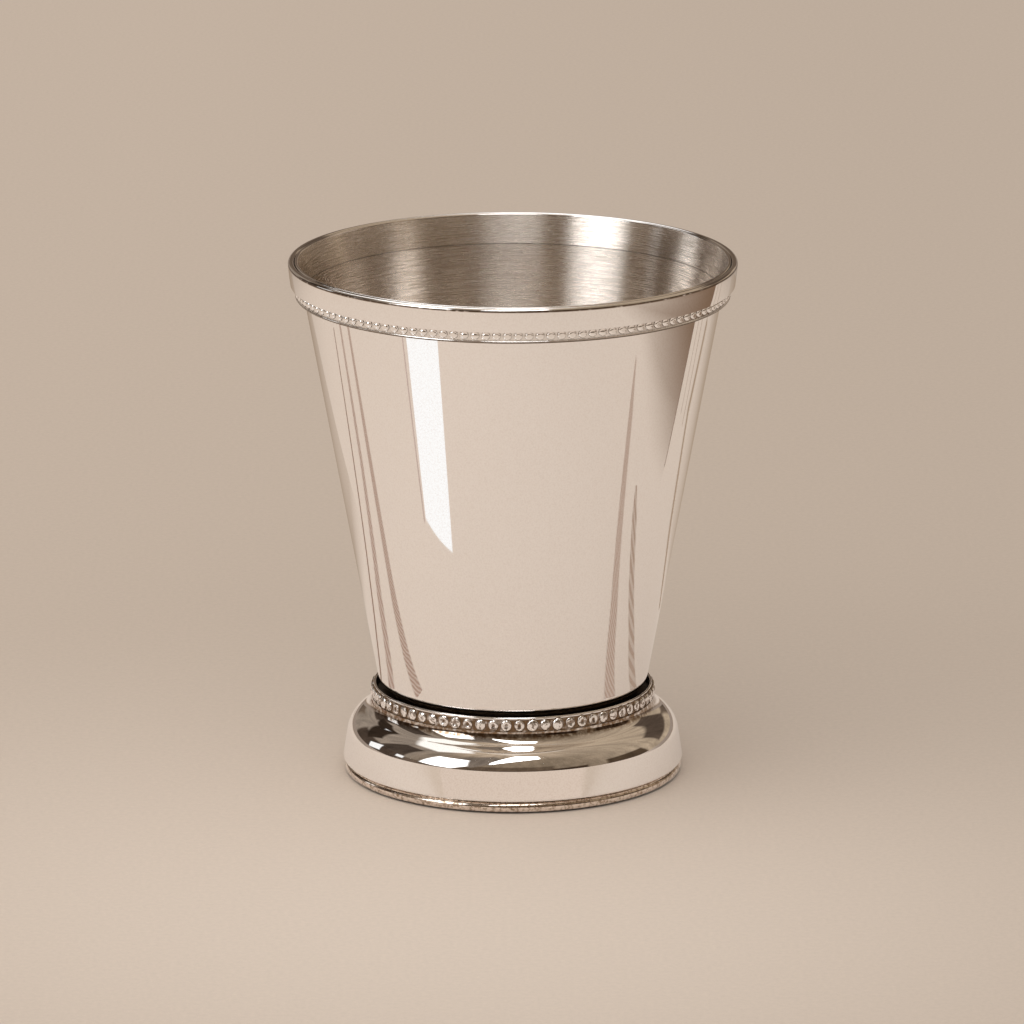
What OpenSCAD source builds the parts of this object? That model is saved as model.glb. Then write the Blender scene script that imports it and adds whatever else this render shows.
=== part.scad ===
// Beaded julep cup. A tapering bowl of thin sheet has a plain band and a row of
// beads soldered round its mouth, and sits in the collar of a hollow spun foot.
// The origin is the centre of the underside, and +Z points up through the mouth.

/* [Bowl] */
// Height of the whole cup, from the table to the lip
cup_h = 104.5; // [92:0.5:125]
// Outer radius of the bowl at its mouth
mouth_r = 43.2; // [40:0.1:48]
// How far the mouth flares out past the straight taper
flare_out = 1.56; // [0.8:0.02:2.4]
// Height of the flared stretch below the mouth
flare_h = 5.9; // [3.5:0.1:9]
// Outer radius where the taper would meet the bottom if the heel were sharp
heel_line_r = 26.6; // [24:0.1:30]
// Outer radius of the rounded heel between wall and bottom
heel_round = 3.2; // [2:0.1:4.5]
// Thickness of the bowl's sheet
bowl_wall = 0.65; // [0.45:0.05:1]

/* [Rim band] */
// Width of the rounded lip that stands outside the bowl's own edge
lip_w = 1.25; // [0.8:0.05:2]
// Height of the plain band, with its lip
band_h = 4.75; // [3:0.05:8]
// How far the face of the band comes in towards its lower edge
band_draw_in = 0.45; // [0.2:0.05:0.8]

/* [Rim beading] */
// Height of the beaded strip under the band
rim_strip_h = 2.4; // [2.4:0.05:4]
// Thickness of the strip at its lower edge, between the beads
rim_strip_t = 1.35; // [1.25:0.05:1.6]
// Diameter of the beads
rim_bead_d = 1.6; // [1.1:0.05:1.75]
// Distance from bead to bead
rim_bead_pitch = 2.1; // [2:0.05:3.5]
// Depth of the beads' centres behind the strip's face
rim_bead_sink = 0.05; // [0.02:0.01:0.2]
// Diameter of the plain wire along the strip's lower edge
edge_wire_d = 0.55; // [0.35:0.05:0.6]

/* [Foot collar] */
// Width of the groove between the collar and the bowl's taper line
groove_w = 0.85; // [0.6:0.05:1.5]
// Thickness of the collar's upright wall
collar_wall = 0.5; // [0.4:0.05:0.9]
// Height of the collar above the neck of the foot
collar_h = 2.85; // [2.7:0.05:3.4]
// Thickness of the groove's floor
groove_floor = 0.75; // [0.5:0.05:1]
// Height of the seat above the groove's floor
seat_rise = 1.1; // [0.6:0.05:1.4]
// Width of the ring that the bowl's bottom sits on
seat_w = 2; // [1:0.1:4]
// Length of the spigot that enters the neck of the foot
spigot_l = 1.3; // [0.8:0.05:2]
// Thickness of the spigot
spigot_wall = 0.8; // [0.5:0.05:1.2]

/* [Foot beading] */
// Height of the beaded strip round the collar
foot_strip_h = 2.4; // [2.4:0.05:2.6]
// Thickness of the strip between its beads
foot_strip_t = 0.15; // [0.1:0.01:0.18]
// Width of the beads where they meet the strip
foot_bead_w = 1.95; // [1.3:0.05:2.1]
// Height of the beads where they meet the strip
foot_bead_h = 2.15; // [1.8:0.05:2.15]
// Distance from bead to bead
foot_bead_pitch = 2.58; // [2.4:0.02:4]
// How far the beads stand out from the strip
foot_bead_relief = 0.4; // [0.35:0.05:0.5]

/* [Foot shell] */
// Thickness of the foot's sheet
shell_wall = 0.85; // [0.6:0.05:1.1]
// How far the neck stands out past the collar
neck_step = 0.35; // [0.2:0.05:0.5]
// How far the shoulder's crease stands out past the neck
shoulder_out = 4.85; // [4:0.05:6.5]
// Radius of the shoulder's curve
shoulder_round = 5.3; // [4:0.1:6.5]
// Slope of the shoulder at its crease, from upright
crease_a = 10; // [0:1:20]
// Slope of the shoulder where it meets the hollow neck, from upright
neck_a = 66; // [55:1:75]
// Height of the skirt below the crease
skirt_h = 6.1; // [4:0.1:9]
// How far the skirt widens below the crease
skirt_flare = 0.9; // [0.1:0.05:2]
// Radius of the skirt's lower corner
skirt_round = 0.45; // [0.2:0.05:0.8]

/* [Base wire] */
// Height of the wire that the cup stands on
wire_d = 2.3; // [1.6:0.1:3.2]
// How far the wire stands in from the skirt
wire_set_back = 0.2; // [0:0.05:0.6]
// Width of the flat land inside the wire's round edge
land_w = 1.7; // [1:0.1:3]

/* [Hidden] */

plate = [0.85, 0.81, 0.76];
plate_bead = [0.9, 0.87, 0.83];
solder_grey = [0.42, 0.4, 0.38];

// Solder under the bowl and round its mouth, and between the foot and its wire
solder_t = 0.12;
// Open gap between the bowl's edge and the lip, and the spigot's clearance
edge_gap = 0.05;
spigot_gap = 0.05;
// How far the solder stops short of a visible edge
solder_short = 0.45;
// Reach of the fillets of solder at the seat
fillet = 0.9;

turn_steps = 160;
arc_steps = 14;
bead_steps = 24;

// Levels of the foot, from the table up
skirt_z = wire_d + solder_t;
crease_z = skirt_z + skirt_h;
collar_in_r = heel_line_r + groove_w;
collar_out_r = collar_in_r + collar_wall;
neck_r = collar_out_r + neck_step;
crease_r = neck_r + shoulder_out;
skirt_r = crease_r + skirt_flare;
wire_c_r = skirt_r - wire_set_back - wire_d / 2;

// Centres of the shoulder's curve and of the hollow neck's, which meet where both slope by neck_a
shoulder_c = [crease_r, crease_z] - shoulder_round * [cos(crease_a), sin(crease_a)];
join = shoulder_c + shoulder_round * [cos(neck_a), sin(neck_a)];
neck_round = (join[0] - neck_r) / (1 - cos(neck_a));
neck_z = join[1] + neck_round * sin(neck_a);
neck_c = [neck_r + neck_round, neck_z];

// Levels of the collar and the bowl
groove_z = neck_z + groove_floor;
seat_z = groove_z + seat_rise;
bowl_z = seat_z + solder_t;
flare_z = cup_h - flare_h;
edge_z = cup_h - bowl_wall / 2;
taper_top_r = mouth_r - flare_out;
taper = (taper_top_r - heel_line_r) / (flare_z - bowl_z);
taper_a = atan(taper);
heel_c = [heel_line_r + heel_round * taper - heel_round / cos(taper_a), bowl_z + heel_round];
seat_r = heel_c[0];

// Sizes of the rim
lip_r = mouth_r + edge_gap + lip_w;
roll_z = cup_h - lip_w / 2;
band_z = cup_h - band_h;
band_low_r = lip_r - band_draw_in;
band_drop = roll_z - band_z;
band_sweep = (band_drop * band_drop + band_draw_in * band_draw_in) / (2 * band_draw_in);
rim_strip_z = band_z - rim_strip_h;
rim_strip_r = bowl_r(rim_strip_z) + solder_t + rim_strip_t;
rim_bead_z = (band_z + rim_strip_z + edge_wire_d) / 2;
rim_bead_r = rim_strip_r - rim_bead_sink;
rim_beads = floor(2 * PI * rim_bead_r / rim_bead_pitch);

// The foot's beads are turned about an upright axis inside the collar: foot_bead_turn is their
// radius about it, and foot_bead_arc that of their upright outline
foot_bead_turn = bulge_r(foot_bead_w, foot_bead_relief);
foot_bead_arc = bulge_r(foot_bead_h, foot_bead_relief);
foot_bead_r = collar_out_r + foot_strip_t + foot_bead_relief - foot_bead_turn;
foot_bead_z = neck_z + foot_strip_h / 2;
foot_beads = floor(2 * PI * collar_out_r / foot_bead_pitch);

// Points along a round stretch, from angle a to angle b about the centre c
function arc(c, r, a, b) =
    [for (i = [0 : arc_steps]) let (t = a + (b - a) * i / arc_steps) c + r * [cos(t), sin(t)]];

// Radius of the arc that rises by h over a chord of length c
function bulge_r(c, h) = (c * c / 4 + h * h) / (2 * h);

// Outer radius of the bowl at the height z
function bowl_r(z) =
    z < flare_z ? taper_top_r - (flare_z - z) * taper
                : taper_top_r + (z - flare_z) * flare_out / (edge_z - flare_z);

// Points up the bowl's outer face between two heights, moved out by t
function bowl_face(low, high, t) =
    [[bowl_r(low) + t, low], [taper_top_r + t, flare_z], [bowl_r(high) + t, high]];

function reversed(points) = [for (i = [len(points) - 1 : -1 : 0]) points[i]];

module turned() {
    rotate_extrude($fn = turn_steps) children();
}

// The first copy stands half a pitch round from the X axis, clear of the turned pieces' seams
module ring_of(count) {
    for (i = [0 : count - 1]) rotate((i + 1 / 2) * 360 / count) children();
}

// Keeps only what lies further out than the plane x, for a bead of size d at the height z
module beyond(x, z, d) {
    intersection() {
        children();
        translate([x, -d, z - d]) cube(2 * d);
    }
}

module bowl_section() {
    inner_kink = [taper_top_r - bowl_wall / cos(taper_a), flare_z];
    polygon(concat(
        [[0, bowl_z]],
        arc(heel_c, heel_round, -90, -taper_a),
        [[taper_top_r, flare_z]],
        arc([mouth_r - bowl_wall / 2, edge_z], bowl_wall / 2, 0, 180),
        [inner_kink],
        arc(heel_c, heel_round - bowl_wall, -taper_a, -90),
        [[0, bowl_z + bowl_wall]]
    ));
}

module rim_band_section() {
    sweep_a = asin(band_drop / band_sweep);
    polygon(concat(
        [[bowl_r(band_z) + solder_t, band_z]],
        arc([lip_r - band_sweep, roll_z], band_sweep, -sweep_a, 0),
        arc([lip_r - lip_w / 2, roll_z], lip_w / 2, 0, 180)
    ));
}

module rim_strip_section() {
    polygon(concat(
        bowl_face(rim_strip_z, band_z, solder_t),
        [[rim_strip_r, band_z], [rim_strip_r, rim_strip_z]]
    ));
    translate([rim_strip_r, rim_strip_z + edge_wire_d / 2]) circle(d = edge_wire_d, $fn = bead_steps);
}

module rim_solder_section() {
    low = rim_strip_z + solder_short;
    high = roll_z - solder_short;
    polygon(concat(bowl_face(low, high, 0), reversed(bowl_face(low, high, solder_t))));
}

module foot_collar_section() {
    lip_z = neck_z + collar_h - collar_wall / 2;
    spigot_r = neck_r - shell_wall - spigot_gap;
    polygon(concat(
        [
            [spigot_r - spigot_wall, neck_z - spigot_l],
            [spigot_r, neck_z - spigot_l],
            [spigot_r, neck_z],
            [collar_out_r, neck_z]
        ],
        arc([collar_out_r - collar_wall / 2, lip_z], collar_wall / 2, 0, 180),
        [
            [collar_in_r, groove_z],
            [seat_r, groove_z],
            [seat_r, seat_z],
            [seat_r - seat_w, seat_z],
            [seat_r - seat_w, neck_z],
            [spigot_r - spigot_wall, neck_z]
        ]
    ));
}

module foot_shell_section() {
    skirt_corner = [skirt_r - skirt_round, skirt_z + skirt_round];
    edge_in_r = wire_c_r - land_w;
    polygon(concat(
        arc(neck_c, neck_round, 180, 180 + neck_a),
        arc(shoulder_c, shoulder_round, neck_a, crease_a),
        arc(skirt_corner, skirt_round, 0, -90),
        [
            [edge_in_r, skirt_z],
            [edge_in_r, skirt_z + shell_wall],
            [skirt_r - shell_wall, skirt_z + shell_wall]
        ],
        arc(shoulder_c, shoulder_round - shell_wall, crease_a, neck_a),
        arc(neck_c, neck_round + shell_wall, 180 + neck_a, 180)
    ));
}

module base_wire_section() {
    translate([wire_c_r, wire_d / 2]) circle(d = wire_d, $fn = turn_steps);
    translate([wire_c_r - land_w, 0]) square([land_w, wire_d]);
}

// Fillet under the heel: it fills the seam on the seat and runs a little way up the heel
module seat_solder_section() {
    difference() {
        polygon([
            [seat_r - seat_w, seat_z],
            [seat_r, seat_z],
            [seat_r, seat_z - fillet / 2],
            [seat_r + fillet, bowl_z],
            [seat_r + fillet, bowl_z + bowl_wall / 2],
            [seat_r - seat_w, bowl_z + bowl_wall / 2]
        ]);
        bowl_section();
    }
}

// Wedge between the spigot and the inside of the hollow neck
module neck_solder_section() {
    spigot_r = neck_r - shell_wall - spigot_gap;
    difference() {
        translate([spigot_r, neck_z - spigot_l]) square([neck_step + spigot_gap, spigot_l]);
        foot_shell_section();
    }
}

module bowl() {
    color(plate) turned() bowl_section();
}

module rim_band() {
    color(plate) turned() rim_band_section();
}

module rim_beading() {
    color(plate_bead) {
        turned() rim_strip_section();
        ring_of(rim_beads)
            translate([rim_bead_r, 0, rim_bead_z]) rotate([0, 90, 0]) sphere(d = rim_bead_d, $fn = bead_steps);
    }
}

module rim_solder() {
    color(solder_grey) turned() rim_solder_section();
}

module foot_collar() {
    color(plate) turned() foot_collar_section();
}

module foot_bead() {
    rotate_extrude($fn = bead_steps) intersection() {
        translate([foot_bead_turn - foot_bead_arc, 0]) circle(r = foot_bead_arc, $fn = turn_steps);
        translate([0, -foot_bead_arc]) square(2 * foot_bead_arc);
    }
}

module foot_beading() {
    color(plate_bead) {
        turned() translate([collar_out_r, neck_z]) square([foot_strip_t, foot_strip_h]);
        ring_of(foot_beads) beyond(collar_out_r + foot_strip_t / 2, foot_bead_z, foot_bead_h)
            translate([foot_bead_r, 0, foot_bead_z]) foot_bead();
    }
}

module foot_shell() {
    color(plate) turned() foot_shell_section();
}

module base_wire() {
    color(plate) turned() base_wire_section();
}

module seat_solder() {
    color(solder_grey) turned() seat_solder_section();
}

module neck_solder() {
    color(solder_grey) turned() neck_solder_section();
}

module base_solder() {
    color(solder_grey) turned() translate([wire_c_r - land_w, wire_d]) square([land_w, solder_t]);
}

bowl();
rim_band();
rim_beading();
rim_solder();
foot_collar();
foot_beading();
foot_shell();
base_wire();
seat_solder();
neck_solder();
base_solder();
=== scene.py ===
"""Looks of a footed julep cup in polished nickel plate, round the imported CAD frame.

A mirror finish shows every facet, so the pieces that show are turned again here in finer steps, from
the sizes of the CAD parts. The beads, the band's face and the shoulder depart from those a little, to
look and mirror as in the photograph. Sizes are in millimetres, and meshes in metres.
"""

import logging
import math
from dataclasses import dataclass
from enum import Enum

import bpy
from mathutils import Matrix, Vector, kdtree


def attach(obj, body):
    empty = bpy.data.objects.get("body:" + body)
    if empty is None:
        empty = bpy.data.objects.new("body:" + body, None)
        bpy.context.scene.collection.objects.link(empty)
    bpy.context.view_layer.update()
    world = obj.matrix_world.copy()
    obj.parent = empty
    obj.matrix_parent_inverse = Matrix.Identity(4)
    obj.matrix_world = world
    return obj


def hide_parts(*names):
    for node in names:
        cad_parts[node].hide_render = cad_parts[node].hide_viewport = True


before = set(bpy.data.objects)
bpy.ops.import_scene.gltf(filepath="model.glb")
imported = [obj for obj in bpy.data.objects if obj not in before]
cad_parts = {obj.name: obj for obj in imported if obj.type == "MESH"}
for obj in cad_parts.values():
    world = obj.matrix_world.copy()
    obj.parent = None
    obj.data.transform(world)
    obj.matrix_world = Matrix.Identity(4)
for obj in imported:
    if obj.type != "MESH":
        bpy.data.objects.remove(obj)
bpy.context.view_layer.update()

MM = 0.001
Point = tuple[float, float]
Triple = tuple[float, float, float]
Socket = bpy.types.NodeSocket
Inputs = dict[str, object]
log = logging.getLogger("julep_cup")


# Small helpers


def linear(colour: str) -> tuple[float, float, float, float]:
    """Turns an sRGB hex colour to a linear one.

    Args:
        colour: six hex digits, as in "C0B0A0".

    Returns:
        Red, green, blue and an alpha of 1.
    """
    shares = [int(colour[i:i + 2], 16) / 255 for i in (0, 2, 4)]
    red, green, blue = (s / 12.92 if s <= 0.04045 else ((s + 0.055) / 1.055) ** 2.4 for s in shares)
    return red, green, blue, 1.0


def arc(centre: Point, radius: float, start: float, end: float, steps: int) -> list[Point]:
    """Points along a round stretch of an outline.

    Args:
        centre: its centre, as radius from the axis and height.
        radius: its radius.
        start: angle of its first point, in degrees from straight out.
        end: angle of its last point.
        steps: how many steps it is cut into.

    Returns:
        The points, the first and the last included.
    """
    turns = [math.radians(start + (end - start) * i / steps) for i in range(steps + 1)]
    return [(centre[0] + radius * math.cos(t), centre[1] + radius * math.sin(t)) for t in turns]


def bowed(start: Point, end: Point, first: float, last: float, steps: int) -> list[Point]:
    """Points along a round stretch given by its two ends and the directions that it faces there.

    Args:
        start: its first point.
        end: its last point.
        first: the direction that it faces at the start, in degrees from straight out.
        last: the direction at the end.
        steps: how many steps it is cut into.

    Returns:
        The points, the first and the last included.
    """
    chord = math.hypot(end[0] - start[0], end[1] - start[1])
    radius = chord / (2 * math.sin(math.radians(last - first) / 2))
    turn = math.radians(first)
    centre = (start[0] - radius * math.cos(turn), start[1] - radius * math.sin(turn))
    return arc(centre, radius, first, last, steps)


def dense(outline: list[Point], step: float = 1.6, long: float = 0.5,
          ends: Point = (0.04, 0.2)) -> list[Point]:
    """Cuts the long stretches of an outline into short ones, so that no wide face bends a reflection.

    Args:
        outline: corner points.
        step: the longest stretch left.
        long: length above which a stretch gets close points at both its ends as well.
        ends: how far those points are from its ends.

    Returns:
        The outline with the points added.
    """
    points = [outline[0]]
    for (r0, z0), (r1, z1) in zip(outline, outline[1:]):
        length = math.hypot(r1 - r0, z1 - z0)
        count = max(1, math.ceil(length / step))
        shares = [i / count for i in range(1, count + 1)]
        if length > long:
            shares = sorted({*shares, *(e / length for e in ends), *(1 - e / length for e in ends)})
        points += [(r0 + (r1 - r0) * s, z0 + (z1 - z0) * s) for s in shares]
    return points


class Nodes:
    """A node tree, with short ways to add the nodes that keep coming back."""

    def __init__(self, tree: bpy.types.NodeTree) -> None:
        """Takes the tree that the nodes go into."""
        self.tree = tree

    def add(self, kind: str, inputs: dict | None = None, **settings) -> bpy.types.Node:
        """Adds a node with its settings and what goes into it.

        Args:
            kind: the node's type name.
            inputs: socket name or number, and the value or the other node's output that goes there.
            settings: attributes of the node.

        Returns:
            The new node.
        """
        node = self.tree.nodes.new(kind)
        for name, value in settings.items():
            setattr(node, name, value)
        for key, value in (inputs or {}).items():
            if isinstance(value, Socket):
                self.tree.links.new(value, node.inputs[key])
            else:
                node.inputs[key].default_value = value
        return node

    def maths(self, operation: str, *values: object) -> Socket:
        """Adds a sum of one to three numbers and returns its result."""
        return self.add("ShaderNodeMath", dict(enumerate(values)), operation=operation).outputs[0]

    def vector(self, operation: str, *values: object) -> Socket:
        """Adds a sum of one to three vectors and returns its result, a number or a vector."""
        output = int(operation in ("LENGTH", "DISTANCE", "DOT_PRODUCT"))
        return self.add("ShaderNodeVectorMath", dict(enumerate(values)), operation=operation).outputs[output]

    def scaled(self, colour: Socket, gain: Socket) -> Socket:
        """Returns a colour made brighter or darker by a gain."""
        return self.add("ShaderNodeVectorMath", {0: colour, "Scale": gain}, operation="SCALE").outputs[0]

    def axis(self, where: Socket, name: str) -> Socket:
        """Returns how far a place is along an axis."""
        return self.add("ShaderNodeSeparateXYZ", {0: where}).outputs[name]

    def ramp(self, value: Socket, low: float, high: float, start: float = 0.0, end: float = 1.0,
             **settings) -> Socket:
        """Maps a value evenly from low to high to start to end, and holds it at the ends."""
        inputs = {"Value": value, "From Min": low, "From Max": high, "To Min": start, "To Max": end}
        return self.add("ShaderNodeMapRange", inputs, **settings).outputs["Result"]

    def rise(self, value: Socket, low: float, high: float) -> Socket:
        """Returns a share that swells softly from 0 to 1 as the value goes from low to high."""
        return self.ramp(value, low, high, interpolation_type="SMOOTHSTEP")

    def noise(self, where: Socket, scale: float, detail: float, roughness: float = 0.5) -> Socket:
        """Returns soft noise with octaves of finer detail."""
        inputs = {"Vector": where, "Scale": scale, "Detail": detail, "Roughness": roughness}
        return self.add("ShaderNodeTexNoise", inputs).outputs["Fac"]

    def place(self, stretch: Triple = (1.0, 1.0, 1.0)) -> Socket:
        """Returns the place in millimetres, stretched along each axis for a drawn-out pattern."""
        scale = tuple(s / MM for s in stretch)
        here = self.add("ShaderNodeTexCoord").outputs["Object"]
        return self.add("ShaderNodeMapping", {"Vector": here, "Scale": scale}).outputs["Vector"]

    def radius(self) -> Socket:
        """Returns the distance from the cup's axis in millimetres."""
        return self.vector("LENGTH", self.vector("MULTIPLY", self.place(), (1.0, 1.0, 0.0)))

    def speckle(self, size: float, low: float, high: float, detail: float = 2.0) -> Socket:
        """Returns a share that rises from 0 to 1 where noise in patches of a size goes from low to high."""
        return self.rise(self.noise(self.place(), 1 / size, detail), low, high)

    def ring_line(self, level: float, width: float, core: float = 0.4) -> Socket:
        """Returns a share that is 1 along a level line round the piece, and 0 beyond its width."""
        away = self.maths("ABSOLUTE", self.maths("SUBTRACT", self.axis(self.place(), "Z"), level))
        return self.rise(away, width, core * width)

    def blend(self, share: Socket, below: object, above: object) -> Socket:
        """Mixes two colours, each as hex digits, a linear colour or an output, by the share of the second."""
        below, above = (linear(c) if isinstance(c, str) else c for c in (below, above))
        return self.add("ShaderNodeMix", {"Factor": share, 6: below, 7: above}, data_type="RGBA").outputs[2]

    def bump(self, height: Socket, depth: float, strength: float = 1.0) -> Socket:
        """Returns the normal of a surface with bumps of a depth in millimetres."""
        inputs = {"Height": height, "Distance": depth * MM, "Strength": strength}
        return self.add("ShaderNodeBump", inputs).outputs["Normal"]


# Finishes


class Finish:
    """A surface finish. Each kind builds its own material.

    Where one has patches of noise, they are given as their size in millimetres and the noise levels at which
    they start to show and show in full.
    """

    name: str = "finish"

    def build(self) -> bpy.types.Material:
        """Returns the finish as a new material."""
        material = bpy.data.materials.new(self.name)
        material.use_nodes = True
        material.node_tree.nodes.clear()
        nodes = Nodes(material.node_tree)
        nodes.add("ShaderNodeOutputMaterial", {"Surface": self.surface(nodes)})
        return material

    def surface(self, nodes: Nodes) -> Socket:
        """Returns the finish's shader."""
        return nodes.add("ShaderNodeBsdfPrincipled", self.dress(nodes)).outputs["BSDF"]

    def dress(self, nodes: Nodes) -> Inputs:
        """Returns what goes on the sockets of the Principled BSDF."""
        raise NotImplementedError


@dataclass(frozen=True)
class PolishedPlate(Finish):
    """Nickel plate, mopped to a mirror. The mop leaves faint wiping marks that blur what it mirrors a little,
    and a very slight wave that bends it."""

    name: str = "polished nickel plate"
    colour: str = "FDFBF9"
    grain: str = "F6F1ED"
    grain_patches: Triple = (0.32, 0.35, 0.8)
    marks: float = 1.1
    marks_stretch: Triple = (1.0, 1.0, 0.25)
    marks_levels: Point = (0.35, 0.75)
    roughness: Point = (0.015, 0.05)
    wave: float = 26.0
    wave_height: float = 0.004

    def tone(self, nodes: Nodes) -> Socket:
        """Returns the plate's colour, with its fine grain."""
        return nodes.blend(nodes.speckle(*self.grain_patches), self.colour, self.grain)

    def dress(self, nodes: Nodes) -> Inputs:
        """Returns the mirror, with its grain, wiping marks and wave."""
        marks = nodes.noise(nodes.place(self.marks_stretch), self.marks, detail=5.0)
        wave = nodes.noise(nodes.place(), 1 / self.wave, detail=0.0)
        return {"Metallic": 1.0, "Base Color": self.tone(nodes),
                "Roughness": nodes.ramp(marks, *self.marks_levels, *self.roughness),
                "Normal": nodes.bump(wave, self.wave_height)}


@dataclass(frozen=True)
class LippedPlate(PolishedPlate):
    """Polished plate of the band. A broken brown line of painted shade runs along the fine line below its
    rolled lip."""

    name: str = "polished plate of the band"
    line_z: float = 103.93
    line_width: float = 0.24
    line_r: float = 44.2
    line_blur: float = 0.1
    line_patches: Triple = (1.3, 0.2, 0.5)
    shade_tone: str = "7A6A5B"

    def tone(self, nodes: Nodes) -> Socket:
        """Returns the plate's colour, with the line on its outside."""
        outside = nodes.ramp(nodes.radius(), self.line_r - self.line_blur, self.line_r + self.line_blur)
        # painted shade along the fine line below the lip
        line = nodes.maths("MULTIPLY", nodes.ring_line(self.line_z, self.line_width), outside)
        line = nodes.maths("MULTIPLY", line, nodes.speckle(*self.line_patches, detail=3.0))
        return nodes.blend(line, super().tone(nodes), self.shade_tone)


@dataclass(frozen=True)
class NeckPlate(PolishedPlate):
    """Polished plate of the foot. The hollow right below the beads is painted a mottled brown, as painted
    shade."""

    name: str = "polished plate of the foot"
    low_z: float = 13.3
    high_z: float = 14.2
    patches: Triple = (0.9, 0.2, 0.62)
    shade_tone: str = "8A735B"

    def tone(self, nodes: Nodes) -> Socket:
        """Returns the plate's colour, with the painted shade below the beads."""
        # painted shade: mottled brown in the hollow below the beads
        share = nodes.rise(nodes.axis(nodes.place(), "Z"), self.low_z, self.high_z)
        share = nodes.maths("MULTIPLY", share, nodes.speckle(*self.patches, detail=4.0))
        return nodes.blend(share, super().tone(nodes), self.shade_tone)


@dataclass(frozen=True)
class SpunPlate(Finish):
    """Plate over spinning lines, as inside the bowl: the lines run round and draw the lights out upright."""

    name: str = "spun nickel plate"
    colour: str = "FBF5EF"
    shade: str = "D2C4B6"
    line: float = 0.16
    line_stretch: Triple = (0.03, 0.03, 1.0)
    line_depth: float = 0.02
    line_tones: Point = (0.4, 0.75)
    line_gloss: Point = (0.3, 0.7)
    specks: Triple = (0.3, 0.55, 0.85)
    roughness: float = 0.27
    roughness_play: float = 0.04
    anisotropy: float = 1.0
    kink_shade: str = "5A4B3E"
    kink_z: float = 98.6
    kink_width: float = 0.16
    kink_share: float = 0.6

    def dress(self, nodes: Nodes) -> Inputs:
        """Returns the gloss stretched across the lines, with the lines as bumps and tones, and a painted line
        of shade where the sheet flares out."""
        lines = nodes.noise(nodes.place(self.line_stretch), 1 / self.line, detail=3.0, roughness=0.7)
        colour = nodes.blend(nodes.ramp(lines, *self.line_tones), self.colour, self.shade)
        colour = nodes.blend(nodes.speckle(*self.specks), colour, self.shade)
        # painted shade: a dark line along the bend where the sheet flares out
        kink_shade = nodes.maths("MULTIPLY", nodes.ring_line(self.kink_z, self.kink_width), self.kink_share)
        least, most = self.roughness - self.roughness_play, self.roughness + self.roughness_play
        normal = nodes.add("ShaderNodeNewGeometry").outputs["Normal"]
        around = nodes.vector("CROSS_PRODUCT", normal, (0.0, 0.0, 1.0))
        return {"Metallic": 1.0, "Anisotropic": self.anisotropy,
                "Base Color": nodes.blend(kink_shade, colour, self.kink_shade),
                "Roughness": nodes.ramp(lines, *self.line_gloss, least, most),
                "Normal": nodes.bump(lines, self.line_depth, strength=0.6),
                "Tangent": nodes.vector("CROSS_PRODUCT", around, normal)}


@dataclass(frozen=True)
class BeadedPlate(Finish):
    """Polished beads on a strip, with painted shade round the foot of each bead and along the strip's lower
    edge."""

    name: str = "beaded nickel plate"
    colour: str = "FDFBF9"
    hollow_shade: str = "66543F"
    face: float = 42.88
    skin: Point = (0.003, 0.012)
    depth: float = 0.12
    hollow: float = 0.12
    gloss: float = 0.05
    dull: float = 0.35
    uneven: Triple = (1.1, 0.1, 0.5)
    worn: float = 0.0
    dark_reflection_patches: Triple = (0.75, 0.53, 0.6)
    line_z: float = 97.42
    line_width: float = 0.3

    def dress(self, nodes: Nodes) -> Inputs:
        """Returns the mirror, with painted shade where it is just proud of the strip's face and along the
        strip's lower edge, and patches of painted dark reflection where worn is set.
        """
        away = nodes.radius()
        # painted shade round the foot of each bead, darker the deeper it lies
        low = nodes.rise(away, self.face + self.depth, self.face + self.depth / 2)
        proud = nodes.ramp(away, *(self.face + s for s in self.skin), self.hollow)
        dark = nodes.maths("MULTIPLY", nodes.maths("MULTIPLY", low, proud), nodes.speckle(*self.uneven))
        # painted dark reflection: patches that break the beads' highlights into ring and letter shapes
        if self.worn:
            patches = nodes.maths("MULTIPLY", nodes.speckle(*self.dark_reflection_patches, detail=1.0), self.worn)
            dark = nodes.maths("MAXIMUM", dark, patches)
        # painted shade along the strip's lower edge
        dark = nodes.maths("MAXIMUM", dark, nodes.ring_line(self.line_z, self.line_width))
        return {"Metallic": 1.0, "Base Color": nodes.blend(dark, self.colour, self.hollow_shade),
                "Roughness": nodes.ramp(dark, 0.0, 1.0, self.gloss, self.dull)}


@dataclass(frozen=True)
class WornAndShadowedPlate(Finish):
    """Plate that rubs on the table: polished above, speckled with brown tarnish where the mop has missed it,
    and darkened towards the table with a painted contact shadow."""

    name: str = "worn nickel plate with painted contact shadow"
    colour: str = "EFE4D9"
    tarnish: str = "9C856E"
    specks: Triple = (0.7, 0.42, 0.72)
    contact_shadow: str = "3A2B1D"
    contact_shadow_z: Point = (0.5, 0.3)
    roughness: Point = (0.06, 0.3)

    def dress(self, nodes: Nodes) -> Inputs:
        """Returns the plate with its specks, duller where they are, and the painted contact shadow."""
        specks = nodes.speckle(*self.specks, detail=5.0)
        # painted contact shadow: darker towards the table
        under = nodes.ramp(nodes.axis(nodes.place(), "Z"), *self.contact_shadow_z)
        plate = nodes.blend(specks, self.colour, self.tarnish)
        return {"Metallic": 1.0, "Base Color": nodes.blend(under, plate, self.contact_shadow),
                "Roughness": nodes.ramp(specks, 0.0, 1.0, *self.roughness)}


@dataclass(frozen=True)
class DarkSeam(Finish):
    """Unpolished metal down in a groove, with dull oxide patches, painted near black as the groove's shade so
    that it mirrors nothing.
    """

    name: str = "oxidised groove in painted shade"
    colour: str = "33271C"
    high: str = "54432F"
    patches: Triple = (0.8, 0.4, 0.8)

    def dress(self, nodes: Nodes) -> Inputs:
        """Returns the dull black metal."""
        return {"Metallic": 0.8, "Roughness": 0.55,
                "Base Color": nodes.blend(nodes.speckle(*self.patches), self.colour, self.high)}


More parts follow.
